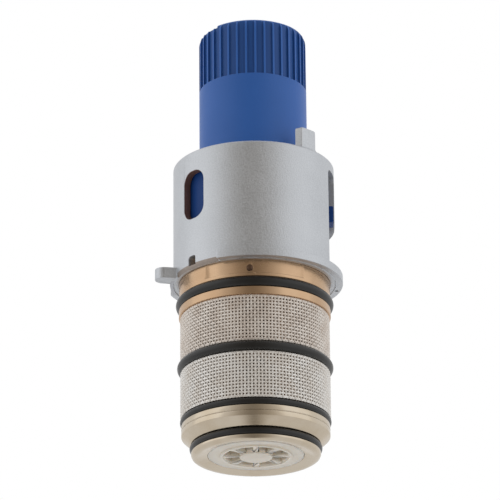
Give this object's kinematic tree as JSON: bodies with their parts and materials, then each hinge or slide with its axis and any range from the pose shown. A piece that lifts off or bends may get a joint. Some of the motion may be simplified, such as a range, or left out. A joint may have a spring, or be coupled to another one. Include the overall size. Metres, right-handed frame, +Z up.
{
  "type": "thermostatic cartridge",
  "caption": "Water mixing cartridge: splined nut in a flanged sleeve over a brass body with two ring filters, four seals and a wax element.",
  "frame": {"origin": "centre of the nose face that the cartridge stands on", "axes": "+Z up the cartridge axis towards the splined nut, -Y to the front, between the window and the stop tab"},
  "size_m": [0.0382, 0.036, 0.0915],
  "materials": {
    "satin_metal": "satin, finely blasted",
    "slip_plastic": "plain moulded",
    "blue_plastic": "moulded, half matt",
    "brass": "turned, pale",
    "pale_plastic": "moulded, half matt",
    "seal_rubber": "greased rubber",
    "filter_steel": "woven wire",
    "spring_steel": "drawn wire",
    "slide_brass": "turned, dull",
    "element_copper": "drawn cup"
  },
  "bodies": {
    "valve": {"housing_sleeve": "satin_metal", "slip_washer": "slip_plastic", "guide_bush": "blue_plastic", "valve_body": "brass", "nose_piece": "brass", "outlet_plug": "pale_plastic", "collar_seal": "seal_rubber", "middle_seal": "seal_rubber", "lower_seal": "seal_rubber", "nose_seal": "seal_rubber", "upper_filter": "filter_steel", "lower_filter": "filter_steel", "return_spring": "spring_steel"},
    "nut": {"regulating_nut": "blue_plastic"},
    "spindle": {"spindle": "brass", "spindle_seal": "seal_rubber", "overload_clip": "spring_steel", "overload_spring": "spring_steel"},
    "plunger": {"overload_plunger": "brass", "element_pin": "spring_steel"},
    "slide": {"control_slide": "slide_brass", "slide_seal": "seal_rubber", "wax_element": "element_copper", "element_clip": "spring_steel"}
  },
  "joints": [
    {"name": "nut_turn", "type": "hinge", "parent": "valve", "child": "nut", "pos_m": [0, 0, 0.06], "axis": [0, 0, 1], "range_deg": [-150, 150]},
    {"name": "spindle_travel", "type": "slide", "parent": "valve", "child": "spindle", "axis": [0, 0, 1], "range_m": [-0.00125, 0.00125]},
    {"name": "overload_yield", "type": "slide", "parent": "spindle", "child": "plunger", "axis": [0, 0, 1], "range_m": [0, 0.002], "stiffness_N_per_m": 2000, "springref_m": -0.0005, "deforming": ["overload_spring"]},
    {"name": "slide_travel", "type": "slide", "parent": "valve", "child": "slide", "axis": [0, 0, 1], "range_m": [-0.0008, 0], "stiffness_N_per_m": 2000, "springref_m": 0.001, "deforming": ["return_spring"]}
  ],
  "couplings": [
    {"joint": "nut_turn", "follows": "spindle_travel", "rad_per_m": -2094.4}
  ]
}
